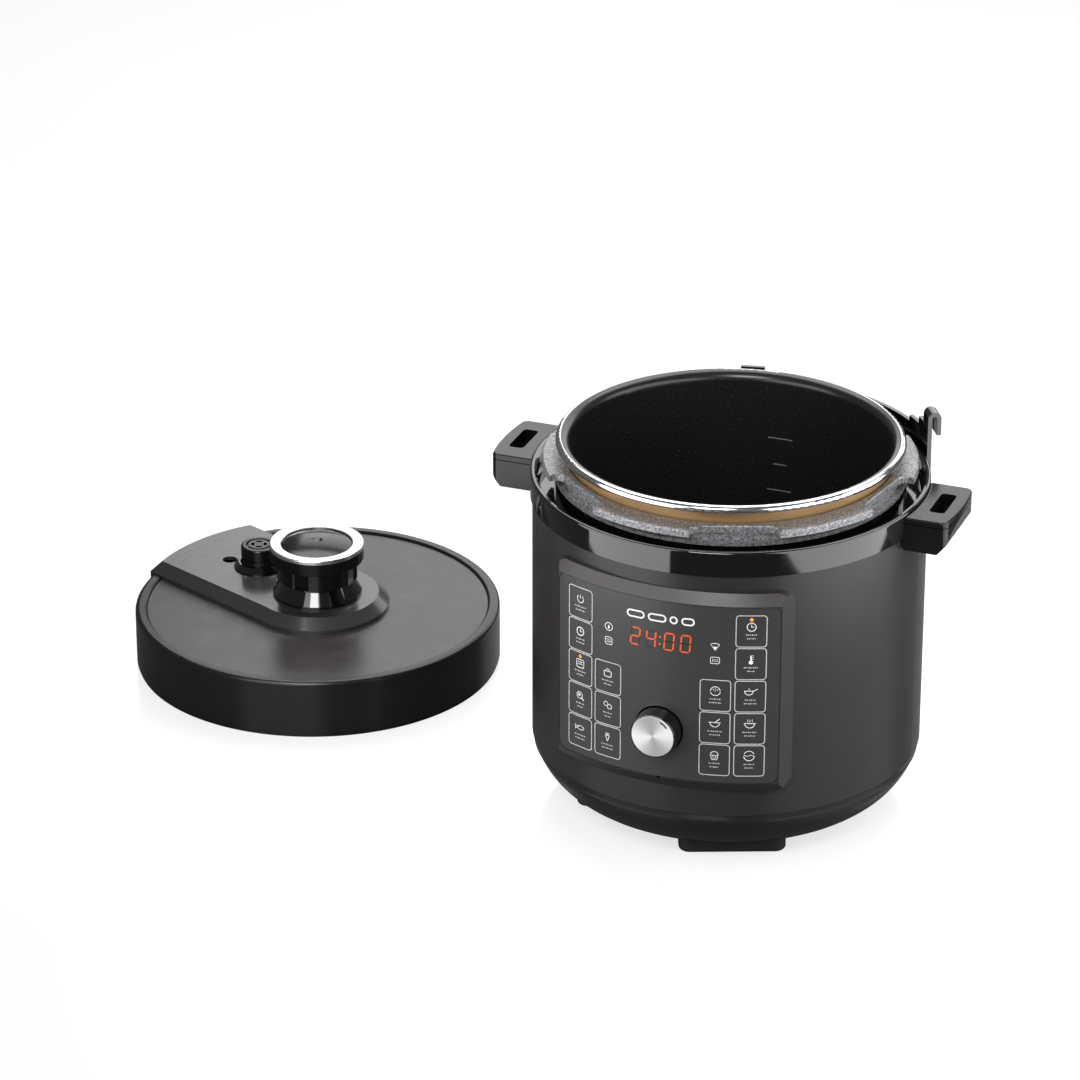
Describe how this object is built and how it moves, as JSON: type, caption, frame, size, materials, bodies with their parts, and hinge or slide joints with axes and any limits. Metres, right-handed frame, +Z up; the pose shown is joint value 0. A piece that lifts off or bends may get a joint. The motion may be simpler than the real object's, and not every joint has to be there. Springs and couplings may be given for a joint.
{
  "type": "electric pressure cooker",
  "caption": "Round electric pressure cooker with touch panel, dial, open inner pot, side handles and a separate twist-lock lid with knob and steam valve.",
  "frame": {"origin": "on the table, on the upright axis of the cooker's body", "axes": "+Z up; the control panel faces -Y; the handles point along +X and -X; the lid lies on the table towards -X"},
  "size_m": [0.6524, 0.3729, 0.272],
  "materials": {
    "bowl_plastic": "satin",
    "foot_plastic": "matt",
    "shell_paint": "satin",
    "bezel_plastic": "satin",
    "panel_film": "printed satin film",
    "gloss_black": "polished",
    "black_plastic": "satin",
    "lid_satin": "satin",
    "cast_flange": "blasted",
    "well_aluminium": "drawn",
    "cast_plate": "cast",
    "pot_coating": "coated outside and inside, polished rim",
    "spun_metal": "spun",
    "bright_ring": "polished",
    "plain_steel": "plain",
    "board_green": "solder mask",
    "foil_amber": "film",
    "display_dark": "smoked",
    "brass_pin": "plain",
    "silicone": "matt",
    "smoke_cup": "translucent"
  },
  "bodies": {
    "body": {"base_cover": "bowl_plastic", "feet": "foot_plastic", "base_screws": "plain_steel", "outer_shell": "shell_paint", "panel_bezel": "bezel_plastic", "panel_overlay": "panel_film", "touch_foil": "foil_amber", "display_module": "display_dark", "control_board": "board_green", "board_screws": "plain_steel", "encoder": "plain_steel", "top_ring": "gloss_black", "drain_spout": "silicone", "locking_flange": "cast_flange", "outer_pot": "well_aluminium", "heating_plate": "cast_plate", "heating_element": "plain_steel", "thermal_fuse": "silicone", "spring_plate": "plain_steel", "well_screws": "plain_steel", "pressure_switch": "black_plastic", "heat_shield": "plain_steel", "power_board": "board_green", "power_inlet": "black_plastic", "inlet_pins": "brass_pin", "right_handle_top": "gloss_black", "left_handle_top": "gloss_black", "right_handle_grip": "black_plastic", "left_handle_grip": "black_plastic", "handle_screws": "plain_steel", "lid_guard": "gloss_black", "cup_bracket": "black_plastic"},
    "control_knob": {"knob_shaft": "plain_steel", "knob_skirt": "gloss_black", "knob_face": "spun_metal"},
    "pot": {"inner_pot": "pot_coating"},
    "sensor": {"sensor_cap": "well_aluminium", "sensor_spring": "plain_steel"},
    "cup": {"condensate_cup": "smoke_cup"},
    "seal": {"sealing_ring": "silicone"},
    "lid": {"lid_skirt": "lid_satin", "lid_disc": "lid_satin", "lid_pan": "plain_steel", "seal_rack": "plain_steel", "vent_pipe": "plain_steel", "vent_shield": "plain_steel", "lid_bridge": "gloss_black", "lid_screws": "plain_steel", "valve_collar": "gloss_black", "knob_pedestal": "gloss_black", "knob_grip": "black_plastic", "knob_ring": "bright_ring", "lever_pin": "plain_steel"},
    "button": {"release_button": "gloss_black", "button_spring": "plain_steel"},
    "lever": {"release_lever": "black_plastic"},
    "valve": {"steam_valve": "black_plastic"},
    "float": {"float_valve": "plain_steel", "float_gasket": "silicone"}
  },
  "joints": [
    {"name": "lid_lift", "type": "slide", "parent": "body", "child": "seal", "axis": [0, 0, 1], "range_m": [0, 0.2]},
    {"name": "lid_turn", "type": "hinge", "parent": "seal", "child": "lid", "pos_m": [-0.3485, 0.0837, 0], "axis": [0, 0, 1], "range_deg": [0, 30]},
    {"name": "pot_lift", "type": "slide", "parent": "body", "child": "pot", "axis": [0, 0, 1], "range_m": [0, 0.2]},
    {"name": "knob_turn", "type": "hinge", "parent": "body", "child": "control_knob", "pos_m": [0, -0.14, 0.11], "axis": [0, -1, 0], "continuous": true},
    {"name": "sensor_press", "type": "slide", "parent": "body", "child": "sensor", "axis": [0, 0, 1], "range_m": [-0.003, 0], "stiffness_N_per_m": 400, "deforming": ["sensor_spring"]},
    {"name": "cup_pull", "type": "slide", "parent": "body", "child": "cup", "axis": [0, 1, 0], "range_m": [0, 0.06]},
    {"name": "button_press", "type": "slide", "parent": "lid", "child": "button", "axis": [0, 0, -1], "range_m": [0, 0.004], "stiffness_N_per_m": 600, "deforming": ["button_spring"]},
    {"name": "lever_rock", "type": "hinge", "parent": "lid", "child": "lever", "pos_m": [-0.3775, 0.09601, 0.0442], "axis": [0.3907, 0.9205, 0], "range_deg": [0, 7.59]},
    {"name": "valve_lift", "type": "slide", "parent": "lid", "child": "valve", "axis": [0, 0, 1], "range_m": [0, 0.0045]},
    {"name": "float_rise", "type": "slide", "parent": "lid", "child": "float", "axis": [0, 0, 1], "range_m": [0, 0.004]}
  ],
  "couplings": [
    {"joint": "lever_rock", "follows": "button_press", "rad_per_m": 31.83},
    {"joint": "valve_lift", "follows": "button_press", "ratio": 1}
  ]
}
